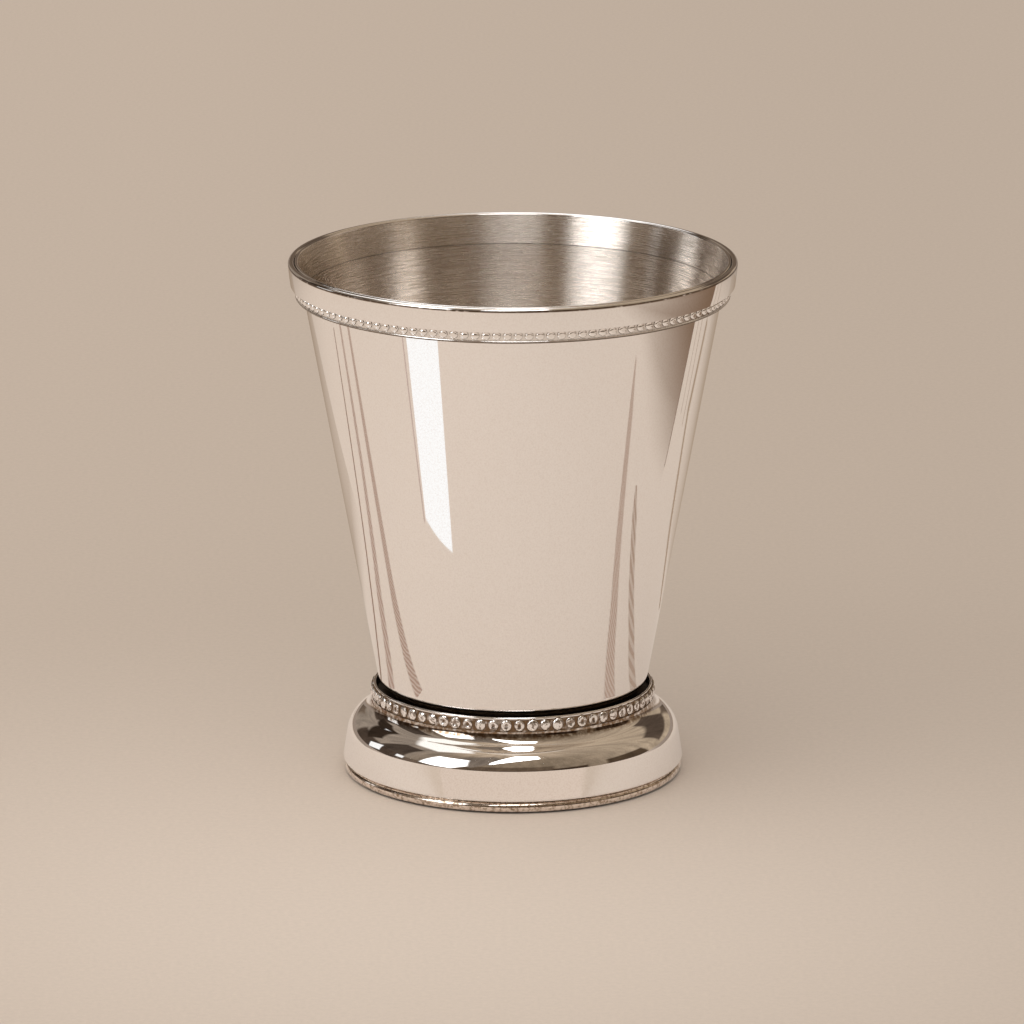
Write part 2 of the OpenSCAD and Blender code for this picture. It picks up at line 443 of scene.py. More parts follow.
@dataclass(frozen=True)
class SoftSolder(Finish):
    """Soft solder, wiped and left as it set: dull grey, with fine pits."""

    name: str = "soft solder"
    colour: str = "6E6862"
    pit: str = "3C3732"
    pits: Triple = (0.5, 0.5, 0.75)
    roughness: Point = (0.4, 0.65)

    def dress(self, nodes: Nodes) -> Inputs:
        """Returns the dull grey metal with its pits."""
        pits = nodes.speckle(*self.pits, detail=3.0)
        return {"Metallic": 0.9, "Base Color": nodes.blend(pits, self.colour, self.pit),
                "Roughness": nodes.ramp(pits, 0.0, 1.0, *self.roughness)}


class Plate(Enum):
    """The finishes that the cup's own metal comes in."""

    POLISHED = PolishedPlate()
    LIPPED = LippedPlate()
    NECK = NeckPlate()
    SPUN = SpunPlate()
    INNER = SpunPlate(name="spun inside of the foot", colour="BDB2A6", shade="94887A", roughness=0.4,
                      anisotropy=0.6)
    RIM_BEADS = BeadedPlate(name="beaded plate of the rim")
    # the foot's beads: browner painted shade round their feet, and patches of painted dark reflection
    FOOT_BEADS = BeadedPlate(name="beaded plate of the foot", hollow_shade="7C6650", face=28.1, depth=0.18,
                             hollow=1.0, gloss=0.24, worn=0.75)
    WORN_AND_SHADOWED = WornAndShadowedPlate()
    GROOVE = DarkSeam()
    SOLDER = SoftSolder()

    def material(self) -> bpy.types.Material:
        """Returns this finish's material, built on first use."""
        return bpy.data.materials.get(self.value.name) or self.value.build()


# Geometry node trees


def made_plain(piece: bpy.types.Object, tree: bpy.types.NodeTree, values: Inputs, sharp: float) -> None:
    """Runs a tree on a piece and keeps the result as its plain mesh.

    Args:
        piece: the object, whose mesh goes into the tree.
        tree: the geometry node tree.
        values: the tree's inputs by name.
        sharp: the angle in degrees from which an edge is sharp.
    """
    modifier = piece.modifiers.new(tree.name, "NODES")
    modifier.node_group = tree
    ids = {item.name: item.identifier for item in tree.interface.items_tree if item.in_out == "INPUT"}
    for name, value in values.items():
        modifier[ids[name]] = value
    piece.update_tag()
    view = bpy.context.evaluated_depsgraph_get()
    mesh = bpy.data.meshes.new_from_object(piece.evaluated_get(view))
    mesh.name = piece.name
    mesh.materials.clear()
    mesh.materials.append(values["Material"])
    mesh.polygons.foreach_set("material_index", [0] * len(mesh.polygons))
    mesh.set_sharp_from_angle(angle=math.radians(sharp))
    piece.modifiers.remove(modifier)
    piece.data = mesh


class Tree(Nodes):
    """Base of the geometry node trees, with their common ends."""

    name: str = "tree"
    inputs: dict[str, tuple[str, object]] = {}

    def __init__(self) -> None:
        """Makes the group with its named inputs, and wires it."""
        super().__init__(bpy.data.node_groups.new(self.name, "GeometryNodeTree"))
        face = self.tree.interface
        face.new_socket("Geometry", in_out="OUTPUT", socket_type="NodeSocketGeometry")
        for name, (kind, value) in {"Geometry": ("Geometry", None), **self.inputs}.items():
            made = face.new_socket(name, in_out="INPUT", socket_type="NodeSocket" + kind)
            if value is not None:
                made.default_value = value
        self.given = self.add("NodeGroupInput").outputs
        self.wire()

    def position(self) -> Socket:
        """Returns each point's place."""
        return self.add("GeometryNodeInputPosition").outputs[0]

    def spot(self, radius: Socket, turn: Socket, height: Socket) -> Socket:
        """Returns the place at a radius, a turn from the front and a height."""
        x = self.maths("MULTIPLY", radius, self.maths("SINE", turn))
        y = self.maths("MULTIPLY", radius, self.maths("MULTIPLY", self.maths("COSINE", turn), -1.0))
        return self.add("ShaderNodeCombineXYZ", {"X": x, "Y": y, "Z": height}).outputs[0]

    def join(self, *shapes: Socket) -> Socket:
        """Returns the shapes as one."""
        whole = self.add("GeometryNodeJoinGeometry")
        for shape in shapes:
            self.tree.links.new(shape, whole.inputs[0])
        return whole.outputs[0]

    def shape(self, kind: str, geometry: Socket, **inputs: object) -> Socket:
        """Adds a node that works on a shape and returns what it makes of it."""
        return self.add(kind, {"Geometry": geometry, **inputs}).outputs[0]

    def close(self, geometry: Socket) -> None:
        """Realizes the instances, sets the material and ends the tree."""
        real = self.shape("GeometryNodeRealizeInstances", geometry)
        dressed = self.shape("GeometryNodeSetMaterial", real, Material=self.given["Material"])
        self.add("NodeGroupOutput", {"Geometry": dressed})

    def wire(self) -> None:
        """Adds this tree's own nodes."""
        raise NotImplementedError


class Turning(Tree):
    """Turns an outline, given as loose points of radius and height, once round the axis."""

    name = "turned outline"
    inputs = {"Steps": ("Int", 360), "Material": ("Material", None)}
    weld = 1e-6

    def wire(self) -> None:
        """Lays a grid out, and moves each of its points to the outline's radius and height."""
        outline = self.given["Geometry"]
        count = self.add("GeometryNodeAttributeDomainSize", {"Geometry": outline}).outputs["Point Count"]
        columns = self.maths("ADD", self.given["Steps"], 1.0)
        grid = self.add("GeometryNodeMeshGrid", {"Size X": 1.0, "Size Y": 1.0, "Vertices X": columns,
                                                 "Vertices Y": count})
        round_share, outline_share = (self.maths("ADD", self.axis(self.position(), a), 0.5) for a in "XY")
        turn = self.maths("MULTIPLY", round_share, 2 * math.pi)
        last = self.maths("SUBTRACT", count, 1.0)
        number = self.maths("ROUND", self.maths("MULTIPLY", outline_share, last))
        inputs = {"Geometry": outline, "Value": self.position(), "Index": number}
        found = self.add("GeometryNodeSampleIndex", inputs, data_type="FLOAT_VECTOR", domain="POINT")
        radius, height = (self.axis(found.outputs["Value"], a) for a in "XZ")
        spot = self.spot(radius, turn, height)
        moved = self.shape("GeometryNodeSetPosition", grid.outputs["Mesh"], Position=spot)
        merged = self.shape("GeometryNodeMergeByDistance", moved, Distance=self.weld)
        self.close(self.shape("GeometryNodeSetShadeSmooth", merged))


class BeadRow(Tree):
    """Sets a row of round or oval half-beads on a turned strip, each a little unlike the next.

    About half of them have a dimple. A flat halo round the foot of each one carries its ring of painted
    shade. For a ball of size 1, its back is cut away from the depth buried on, and a dimple goes from
    dimple_reach's first distance to its second. A bead leans by up to its unevenness times lean.
    """

    name = "row of beads"
    inputs = {
        "Beads": ("Int", 100), "Ring radius": ("Float", 0.04), "Ring height": ("Float", 0.01),
        "Bead size": ("Vector", (MM, MM, MM)), "Halo size": ("Vector", (MM, MM, MM)),
        "Dimple": ("Float", 0.0), "Unevenness": ("Float", 0.03), "Seed": ("Int", 7),
        "Material": ("Material", None),
    }
    buried = 0.2
    dimple_reach = (0.34, 0.1)
    lean = 4.0

    def ball(self, finer: int) -> Socket:
        """Returns a ball of size 1, cut finer with a higher number."""
        return self.add("GeometryNodeMeshIcoSphere", {"Radius": 0.5, "Subdivisions": finer}).outputs["Mesh"]

    def draw(self, kind: str, low: object, high: object) -> Socket:
        """Returns a random number for each bead, from low to high, as an INT or a FLOAT."""
        first, result = {"FLOAT": (2, 1), "INT": (4, 2)}[kind]
        inputs = {"Seed": self.given["Seed"], first: low, first + 1: high}
        return self.add("FunctionNodeRandomValue", inputs, data_type=kind).outputs[result]

    def wire(self) -> None:
        """Makes one plain and one dimpled bead, stands copies of them round the ring and joins them to the
        strip."""
        behind = self.maths("GREATER_THAN", self.axis(self.position(), "Y"), self.buried)
        half = self.shape("GeometryNodeDeleteGeometry", self.ball(3), Selection=behind)
        squares = (self.maths("POWER", self.axis(self.position(), a), 2.0) for a in "XZ")
        off = self.maths("SQRT", self.maths("ADD", *squares))
        depth = self.maths("MULTIPLY", self.rise(off, *self.dimple_reach), self.given["Dimple"])
        sunk = self.add("ShaderNodeCombineXYZ", {"Y": depth}).outputs[0]
        dimpled = self.shape("GeometryNodeSetPosition", half, Offset=sunk)
        halo = self.shape("GeometryNodeTransform", self.ball(2), Scale=self.given["Halo size"])
        kinds = []
        for shape in (half, dimpled):
            bead = self.shape("GeometryNodeTransform", shape, Scale=self.given["Bead size"])
            kinds.append(self.shape("GeometryNodeGeometryToInstance", self.join(bead, halo)))
        number = self.maths("ADD", self.add("GeometryNodeInputIndex").outputs[0], 0.5)
        turn = self.maths("MULTIPLY", self.maths("DIVIDE", number, self.given["Beads"]), 2 * math.pi)
        points = self.add("GeometryNodePoints", {"Count": self.given["Beads"]}).outputs[0]
        ring = self.shape("GeometryNodeSetPosition", points,
                          Position=self.spot(self.given["Ring radius"], turn, self.given["Ring height"]))
        uneven = self.given["Unevenness"]
        most = self.maths("MULTIPLY", uneven, self.lean)
        lean = self.maths("MULTIPLY", self.draw("FLOAT", -1.0, 1.0), most)
        size = self.draw("FLOAT", self.maths("SUBTRACT", 1.0, uneven), self.maths("ADD", 1.0, uneven))
        copies = self.add("GeometryNodeInstanceOnPoints", {
            "Points": ring, "Instance": self.join(*kinds), "Pick Instance": True,
            "Instance Index": self.draw("INT", 0, 1), "Scale": size,
            "Rotation": self.add("ShaderNodeCombineXYZ", {"Y": lean, "Z": turn}).outputs[0]})
        smooth = self.shape("GeometryNodeSetShadeSmooth", copies.outputs[0])
        self.close(self.join(smooth, self.given["Geometry"]))


Stretch = tuple[Plate, list[Point]]


class Workshop:
    """Makes pieces with the two geometry node trees. Edges are sharp from the angles sharp_edge and
    sharp_bead on."""

    steps = 360
    sharp_edge = 38.0
    sharp_bead = 50.0

    def __init__(self) -> None:
        """Builds both trees once."""
        self.turning = Turning().tree
        self.bead_row = BeadRow().tree

    def make(self, name: str, node: str, slot: str, stretches: list[Stretch],
             beads: Inputs | None = None) -> None:
        """Turns a piece, sets its beads if it has any, and puts it in the place of its CAD node.

        Args:
            name: the piece's name.
            node: the CAD node that it stands for.
            slot: the record's material slot; not used.
            stretches: its closed outline in millimetres, with the metal on the left of the way round, and the
                finish of each stretch.
            beads: the bead tree's inputs by name.
        """
        points: list[Point] = []
        plates: list[Plate] = []
        for plate, outline in stretches:
            points += dense([*points[-1:], *outline])[1 if points else 0:]
            plates += [plate] * (len(points) - 1 - len(plates))
        mesh = bpy.data.meshes.new(name)
        mesh.from_pydata([(r * MM, 0.0, z * MM) for r, z in points], [], [])
        piece = bpy.data.objects.new(name, mesh)
        bpy.context.scene.collection.objects.link(piece)
        base = {"Material": plates[0].material()}
        made_plain(piece, self.turning, {"Steps": self.steps, **base}, self.sharp_edge)
        self.dress(piece, points, plates)
        if beads:
            made_plain(piece, self.bead_row, {**beads, **base}, self.sharp_bead)
        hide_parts(node)
        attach(piece, "root")
        log.info("%s: %d faces, in the place of %s", piece.name, len(piece.data.polygons), node)

    def dress(self, piece: bpy.types.Object, points: list[Point], plates: list[Plate]) -> None:
        """Gives each face the finish of the outline's segment that it was turned from.

        Args:
            piece: the turned piece.
            points: its outline in millimetres.
            plates: the finish of each segment.
        """
        kinds = list(dict.fromkeys(plates))
        for plate in kinds[1:]:
            piece.data.materials.append(plate.material())
        middles = kdtree.KDTree(len(plates))
        for number, ((r0, z0), (r1, z1)) in enumerate(zip(points, points[1:])):
            middles.insert(((r0 + r1) / 2 * MM, 0.0, (z0 + z1) / 2 * MM), number)
        middles.balance()
        for face in piece.data.polygons:
            middle = face.center
            number = middles.find((math.hypot(middle.x, middle.y), 0.0, middle.z))[1]
            face.material_index = kinds.index(plates[number])


# The cup's sub-assemblies


@dataclass
class Bowl:
    """The drawn and spun sheet: a straight taper on a round heel, flared out at the mouth. Its underside is
    painted dark, as the shade of the collar's groove, up to the angle shade_a of the heel."""

    shop: Workshop
    height: float = 104.5
    mouth_r: float = 43.2
    flare_out: float = 1.56
    flare_h: float = 5.9
    heel_line_r: float = 26.6
    heel_round: float = 3.2
    shade_a: float = -72.0
    wall: float = 0.65
    bottom_z: float = 17.164

    def __post_init__(self) -> None:
        """Works out the taper and the heel's centre."""
        self.flare_z = self.height - self.flare_h
        self.taper_top_r = self.mouth_r - self.flare_out
        self.taper = (self.taper_top_r - self.heel_line_r) / (self.flare_z - self.bottom_z)
        self.lean = math.degrees(math.atan(self.taper))
        reach = self.heel_round * self.taper - self.heel_round / math.cos(math.radians(self.lean))
        self.heel_centre = (self.heel_line_r + reach, self.bottom_z + self.heel_round)

    def outer_r(self, z: float) -> float:
        """Returns the outer radius at a height."""
        if z < self.flare_z:
            return self.taper_top_r - (self.flare_z - z) * self.taper
        return self.taper_top_r + (z - self.flare_z) * self.flare_out / (self.flare_h - self.wall / 2)

    def outline(self) -> list[Stretch]:
        """Returns the sheet's outline, from the middle of the underside round to the middle of its floor."""
        edge = (self.mouth_r - self.wall / 2, self.height - self.wall / 2)
        inner_kink = (self.taper_top_r - self.wall / math.cos(math.radians(self.lean)), self.flare_z)
        heel, heel_r = self.heel_centre, self.heel_round
        return [
            # painted shade under the heel, where it sits in the collar's groove
            (Plate.GROOVE, [(0.0, self.bottom_z), *arc(heel, heel_r, -90, self.shade_a, 6)]),
            (Plate.POLISHED, [*arc(heel, heel_r, self.shade_a, -self.lean, 24),
                              (self.taper_top_r, self.flare_z), *arc(edge, self.wall / 2, 0, 180, 14)]),
            (Plate.SPUN, [inner_kink, *arc(heel, heel_r - self.wall, -self.lean, -90, 20),
                          (0.0, self.bottom_z + self.wall)]),
        ]

    def build(self) -> None:
        """Turns the bowl and dresses it: mirror outside, spun inside, painted shade under the heel."""
        self.shop.make("bowl_sheet", "bowl", "plated_sheet", self.outline())


@dataclass
class Rim:
    """The plain band with its rolled lip, and the beaded strip below it."""

    shop: Workshop
    bowl: Bowl
    solder: float = 0.12
    gap: float = 0.05
    lip_w: float = 1.25
    band_h: float = 4.75
    draw_in: float = 0.45
    face_turn: Point = (-8.6, -4.0)
    strip_h: float = 2.4
    strip_t: float = 1.35
    wire_d: float = 0.55
    wire_seam: float = 0.02
    bead_w: float = 1.86
    bead_d: float = 1.3
    bead_h: float = 1.68
    bead_sink: float = 0.05
    bead_pitch: float = 2.1
    halo: float = 1.14
    halo_t: float = 0.2
    dimple: float = 0.1
    uneven: float = 0.03
    seed: int = 11

    def __post_init__(self) -> None:
        """Works out the band's and the strip's levels."""
        self.lip_r = self.bowl.mouth_r + self.gap + self.lip_w
        self.band_z = self.bowl.height - self.band_h
        self.strip_z = self.band_z - self.strip_h
        self.strip_r = self.bowl.outer_r(self.strip_z) + self.solder + self.strip_t

    def back(self, z: float) -> Point:
        """Returns the point at a height that lies on the solder round the bowl."""
        return self.bowl.outer_r(z) + self.solder, z

    def band(self) -> list[Point]:
        """Returns the band's outline, with its slightly swept face and round lip."""
        roll_z = self.bowl.height - self.lip_w / 2
        face = bowed((self.lip_r - self.draw_in, self.band_z), (self.lip_r, roll_z), *self.face_turn, 20)
        lip = arc((self.lip_r - self.lip_w / 2, roll_z), self.lip_w / 2, 0, 180, 20)
        return [self.back(self.band_z), *face, *lip[1:], self.back(self.band_z)]

    def strip(self) -> list[Point]:
        """Returns the strip's outline, with the plain wire along its lower edge."""
        wire = arc((self.strip_r, self.strip_z + self.wire_d / 2), self.wire_d / 2, -90, 90, 12)
        seam = (self.strip_r, self.strip_z + self.wire_d + self.wire_seam)
        back = [self.back(z) for z in (self.band_z, self.bowl.flare_z, self.strip_z)]
        return [back[-1], *wire, seam, (self.strip_r, self.band_z), *back]

    def build(self) -> None:
        """Makes the band, and the strip with its beads."""
        self.shop.make("rim_moulding", "rim_band", "plated_moulding", [(Plate.LIPPED, self.band())])
        ring = self.strip_r - self.bead_sink
        beads = {
            "Beads": math.floor(2 * math.pi * ring / self.bead_pitch), "Ring radius": ring * MM,
            "Ring height": (self.band_z + self.strip_z + self.wire_d) / 2 * MM,
            "Bead size": (self.bead_w * MM, self.bead_d * MM, self.bead_h * MM),
            "Halo size": (self.halo * self.bead_w * MM, self.halo_t * MM, self.halo * self.bead_h * MM),
            "Dimple": self.dimple, "Unevenness": self.uneven, "Seed": self.seed}
        strip = [(Plate.RIM_BEADS, self.strip())]
        self.shop.make("rim_bead_strip", "rim_beading", "plated_beading", strip, beads)


@dataclass
class Foot:
    """The collar with its beads, the spun shell and the wire that the cup stands on."""

    shop: Workshop
    bowl: Bowl
    collar_in_r: float = 27.45
    collar_wall: float = 0.5
    collar_h: float = 2.85
    neck_z: float = 15.194
    groove_floor: float = 0.75
    seat_rise: float = 1.1
    seat_w: float = 2.0
    spigot_l: float = 1.3
    spigot_wall: float = 0.8
    spigot_gap: float = 0.05
    strip_h: float = 2.4
    strip_t: float = 0.15
    bead_w: float = 2.2
    bead_h: float = 2.5
    bead_deep: float = 0.6
    bead_relief: float = 0.5
    bead_lift: float = 0.1
    bead_pitch: float = 2.58
    halo_w: float = 1.1
    halo_h: float = 1.05
    halo_proud: float = 0.05
    dimple: float = 0.34
    uneven: float = 0.09
    seed: int = 23
    neck_r: float = 28.3
    sheet: float = 0.85
    crease: Point = (33.15, 8.52)
    shoulder_round: float = 5.3
    crease_a: float = 10.0
    corner_turn: float = 5.0
    neck_a: float = 66.0
    skirt_r: float = 34.05
    skirt_z: float = 2.42
    skirt_round: float = 0.45
    wire_d: float = 2.3
    wire_back: float = 0.2
    land_w: float = 1.7

    def __post_init__(self) -> None:
        """Works out where the shoulder's curve and the hollow neck's meet."""
        turn, meet = math.radians(self.crease_a), math.radians(self.neck_a)
        self.shoulder = (self.crease[0] - self.shoulder_round * math.cos(turn),
                         self.crease[1] - self.shoulder_round * math.sin(turn))
        self.top = (self.shoulder[0] + self.shoulder_round * math.cos(meet),
                    self.shoulder[1] + self.shoulder_round * math.sin(meet))
        self.neck_round = (self.top[0] - self.neck_r) / (1 - math.cos(meet))
        self.wire_r = self.skirt_r - self.wire_back - self.wire_d / 2
        self.land_r = self.wire_r - self.land_w
        self.collar_r = self.collar_in_r + self.collar_wall

    def profile(self) -> list[Point]:
        """Returns the shoulder and the hollow neck. The clear corner at the crease splits the reflection."""
        turn = self.corner_turn
        return [*bowed(self.crease, self.top, self.crease_a + turn, self.neck_a - turn, 64),
                *bowed(self.top, (self.neck_r, self.neck_z), self.neck_a - turn, turn, 40)[1:]]

    def collar(self) -> list[Stretch]:
        """Returns the collar's outline, with its spigot, lip, groove and seat."""
        top = self.neck_z + self.collar_h - self.collar_wall / 2
        spigot = self.neck_r - self.sheet - self.spigot_gap
        back, low = spigot - self.spigot_wall, self.neck_z - self.spigot_l
        groove = self.neck_z + self.groove_floor
        seat, seat_z = self.bowl.heel_centre[0], groove + self.seat_rise
        lip = arc((self.collar_r - self.collar_wall / 2, top), self.collar_wall / 2, 0, 180, 12)
        return [
            (Plate.INNER, [(back, low), (spigot, low), (spigot, self.neck_z)]),
            (Plate.POLISHED, [(self.collar_r, self.neck_z), *lip,
                              (self.collar_in_r, top - self.collar_wall / 2)]),
            # the groove's floor and seat are painted near black, as the groove's shade
            (Plate.GROOVE, [(self.collar_in_r, groove), (seat, groove), (seat, seat_z),
                            (seat - self.seat_w, seat_z)]),
            (Plate.INNER, [(seat - self.seat_w, self.neck_z), (back, self.neck_z), (back, low)]),
        ]

    def strip(self) -> list[Point]:
        """Returns the outline of the strip that the beads stand on."""
        low, high = self.neck_z, self.neck_z + self.strip_h
        out, face = self.collar_r, self.collar_r + self.strip_t
        return [(out, low), (face, low), (face, high), (out, high), (out, low)]

    def shell(self) -> list[Stretch]:
        """Returns the spun foot's outline, up the outside and down the inside."""
        neck = (self.neck_r + self.neck_round, self.neck_z)
        corner = (self.skirt_r - self.skirt_round, self.skirt_z + self.skirt_round)
        floor_z, inner_round = self.skirt_z + self.sheet, self.shoulder_round - self.sheet
        return [
            (Plate.NECK, [(self.land_r, self.skirt_z), *arc(corner, self.skirt_round, -90, 0, 10),
                          *self.profile()]),
            (Plate.INNER, [*arc(neck, self.neck_round + self.sheet, 180, 180 + self.neck_a, 10),
                           *arc(self.shoulder, inner_round, self.neck_a, self.crease_a, 12),
                           (self.skirt_r - self.sheet, floor_z), (self.land_r, floor_z),
                           (self.land_r, self.skirt_z)]),
        ]

    def wire(self) -> list[Point]:
        """Returns the base wire's outline, round outside and square inside."""
        half = self.wire_d / 2
        return [(self.land_r, 0.0), *arc((self.wire_r, half), half, -90, 90, 36), (self.land_r, self.wire_d),
                (self.land_r, 0.0)]

    def bead_values(self) -> Inputs:
        """Returns what the bead tree needs. The beads are flat ovals, sunk into the strip for all but their
        relief, and as wide and high as given where they meet it."""
        sink = self.bead_deep - self.bead_relief
        spread = math.sqrt(1 - (sink / self.bead_deep) ** 2)
        return {
            "Beads": math.floor(2 * math.pi * self.collar_r / self.bead_pitch),
            "Ring radius": (self.collar_r + self.strip_t - sink) * MM,
            "Ring height": (self.neck_z + self.strip_h / 2 + self.bead_lift) * MM,
            "Bead size": (self.bead_w / spread * MM, 2 * self.bead_deep * MM, self.bead_h / spread * MM),
            "Halo size": (self.halo_w * self.bead_w * MM, 2 * (sink + self.halo_proud) * MM,
                          self.halo_h * self.bead_h * MM),
            "Dimple": self.dimple, "Unevenness": self.uneven, "Seed": self.seed}

    def build(self) -> None:
        """Makes the collar, the strip with its beads, the shell and the wire."""
        strip, wire = [(Plate.FOOT_BEADS, self.strip())], [(Plate.WORN_AND_SHADOWED, self.wire())]
        self.shop.make("foot_collar_ring", "foot_collar", "plated_moulding", self.collar())
        self.shop.make("foot_bead_strip", "foot_beading", "plated_beading", strip, self.bead_values())
        self.shop.make("foot_shell_spun", "foot_shell", "plated_foot", self.shell())
        self.shop.make("foot_wire", "base_wire", "plated_wire", wire)


@dataclass
class Seams:
    """The solder seams, which stay as the CAD has them and get their own finish."""

    nodes: tuple[str, ...] = ("rim_solder", "seat_solder", "neck_solder", "base_solder")

    def build(self) -> None:
        """Dresses the CAD nodes. What shows in the collar's groove is painted black, as the groove's shade.
        """
        for name in self.nodes:
            # the seat solder in the groove is painted near black, as the groove's shade
            plate = Plate.GROOVE if name == "seat_solder" else Plate.SOLDER
            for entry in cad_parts[name].material_slots:
                entry.material = plate.material()
            log.info("%s: dressed as %s", name, plate.value.name)


# The room, the floor and the camera


Side = tuple[Vector, float]


def heading(azimuth: float, elevation: float) -> Vector:
    """Returns the direction at degrees to the right of the camera's side and degrees above the table."""
    a, e = math.radians(azimuth), math.radians(elevation)
    return Vector((math.sin(a) * math.cos(e), -math.cos(a) * math.cos(e), math.sin(e)))


@dataclass(frozen=True)
class Panel:
    """Something bright or dark in the room, straight-sided as the cup sees it. Its corners are directions,
    and none of them points inwards."""

    name: str
    colour: str
    corners: tuple[Point, ...]
    strength: float = 1.0
    softness: float = 2.0

    def sides(self) -> list[Side]:
        """Returns the inward normal and the offset of the planes through the cup and each of its sides."""
        spots = [heading(*corner) for corner in self.corners]
        middle = sum(spots, Vector())
        normals = [a.cross(b).normalized() for a, b in zip(spots, spots[1:] + spots[:1])]
        return [(n if n.dot(middle) > 0 else -n, 0.0) for n in normals]

    def paint(self, nodes: Nodes, way: Socket, colour: Socket) -> Socket:
        """Paints it over what lies behind it, with a soft edge.

        Args:
            nodes: the world's nodes.
            way: the direction.
            colour: the colour behind.

        Returns:
            The colour output.
        """
        depth = None
        for normal, offset in self.sides():
            side = nodes.maths("ADD", nodes.vector("DOT_PRODUCT", way, normal), offset)
            depth = side if depth is None else nodes.maths("MINIMUM", depth, side)
        edge = math.radians(self.softness) / 2
        own = tuple(c * self.strength for c in linear(self.colour)[:3]) + (1.0,)
        return nodes.blend(nodes.rise(depth, -edge, edge), colour, own)


@dataclass(frozen=True)
class Band(Panel):
    """A stretch of the room between two azimuths and two elevations, given as two corners."""

    def sides(self) -> list[Side]:
        """Returns its level limits and its upright ones."""
        (az0, el0), (az1, el1) = self.corners
        low, high = (math.sin(math.radians(el)) for el in (el0, el1))
        return [(Vector((0, 0, 1)), -low), (Vector((0, 0, -1)), high),
                (heading(az0 + 90, 0), 0.0), (heading(az1 - 90, 0), 0.0)]


@dataclass(frozen=True)
class MirroredSheet(Finish):
    """Plain matt stuff as the plate mirrors it, painted as a glowing tone that no lamp lights: a painted
    reflection. Seen from above only, it fades out towards its edge, and a twisted cord shows its strands as
    slanting stripes."""

    name: str = "mirrored sheet"
    colour: str = "FFFFFF"
    soft: float = 0.2
    hatch: float = 0.0
    hatch_turn: float = -38.0
    strands: float = 0.314
    between: float = 0.55

    def surface(self, nodes: Nodes) -> Socket:
        """Returns the sheet's even glowing tone, a painted reflection, clear where it isn't solid."""
        solid = nodes.add("ShaderNodeAttribute", attribute_name="solid").outputs["Fac"]
        share = nodes.rise(solid, 0.0, self.soft)
        if self.hatch:
            turn = (0, 0, math.radians(self.hatch_turn))
            turned = nodes.add("ShaderNodeMapping", {"Vector": nodes.place(), "Rotation": turn}).outputs[0]
            twist = nodes.add("ShaderNodeTexWave", {"Vector": turned, "Scale": self.strands / self.hatch,
                                                    "Distortion": 4.0, "Detail": 4.0, "Detail Scale": 0.6})
            share = nodes.maths("MULTIPLY", share, nodes.ramp(twist.outputs["Fac"], 0.2, 0.7, self.between))
        above = nodes.maths("SUBTRACT", 1.0, nodes.add("ShaderNodeNewGeometry").outputs["Backfacing"])
        share = nodes.maths("MULTIPLY", share, above)
        clear = nodes.add("ShaderNodeBsdfTransparent").outputs[0]
        tone = nodes.add("ShaderNodeEmission", {"Color": linear(self.colour)}).outputs[0]
        return nodes.add("ShaderNodeMixShader", {0: share, 1: clear, 2: tone}).outputs[0]


Shape = tuple[list[Vector], list[tuple[int, ...]], list[float]]


@dataclass(frozen=True)
class Mark:
    """Something flat beside the cup that shows only in its polished wall, as places in millimetres."""

    name: str
    colour: str
    soft: float

    hatch = 0.0

    def shape(self) -> Shape:
        """Returns its points, its faces and how solid it is at each point."""
        raise NotImplementedError

    def lay(self, level: float) -> None:
        """Lays it beside the cup, for the polished wall alone to see.

        Args:
            level: its height in millimetres, where the skirt of the foot doesn't mirror it.
        """
        spots, faces, solid = self.shape()
        mesh = bpy.data.meshes.new(self.name)
        mesh.from_pydata([(p.x * MM, p.y * MM, level * MM) for p in spots], [], faces)
        mesh.update()
        for face in mesh.polygons:
            if face.normal.z < 0:
                face.flip()
        mesh.attributes.new("solid", "FLOAT", "POINT").data.foreach_set("value", solid)
        mesh.materials.append(MirroredSheet(self.name, self.colour, self.soft, self.hatch).build())
        sheet = bpy.data.objects.new(self.name, mesh)
        bpy.context.scene.collection.objects.link(sheet)
        for ray in ("camera", "diffuse", "transmission", "shadow"):
            setattr(sheet, "visible_" + ray, False)


@dataclass(frozen=True)
class Cord(Mark):
    """A cord or a fold along a path of x, y and width, solid along its middle."""

    path: tuple[Triple, ...]
    hatch: float = 0.0

    def shape(self) -> Shape:
        """Returns three points across it at each place of its path, and the faces between them."""
        spots, solid, count = [], [], len(self.path)
        for number, (x, y, width) in enumerate(self.path):
            before, after = self.path[max(0, number - 1)], self.path[min(count - 1, number + 1)]
            along = Vector((after[0] - before[0], after[1] - before[1])).normalized()
            across = Vector((-along.y, along.x)) * width / 2
            spots += [Vector((x, y)) - across, Vector((x, y)), Vector((x, y)) + across]
            solid += [0.0, 1.0, 0.0]
        faces = [tuple(k + i for i in (0, 3, 4, 1)) for n in range(count - 1) for k in (3 * n, 3 * n + 1)]
        return spots, faces, solid


@dataclass(frozen=True)
class Sheet(Mark):
    """A sheet given by places across it, two by two, as x, y and how solid it is there."""

    places: tuple[Triple, ...]

    def shape(self) -> Shape:
        """Returns its places and the faces from each two to the next."""
        faces = [(k, k + 2, k + 3, k + 1) for k in range(0, len(self.places) - 2, 2)]
        return [Vector((x, y)) for x, y, _ in self.places], faces, [float(s) for _, _, s in self.places]


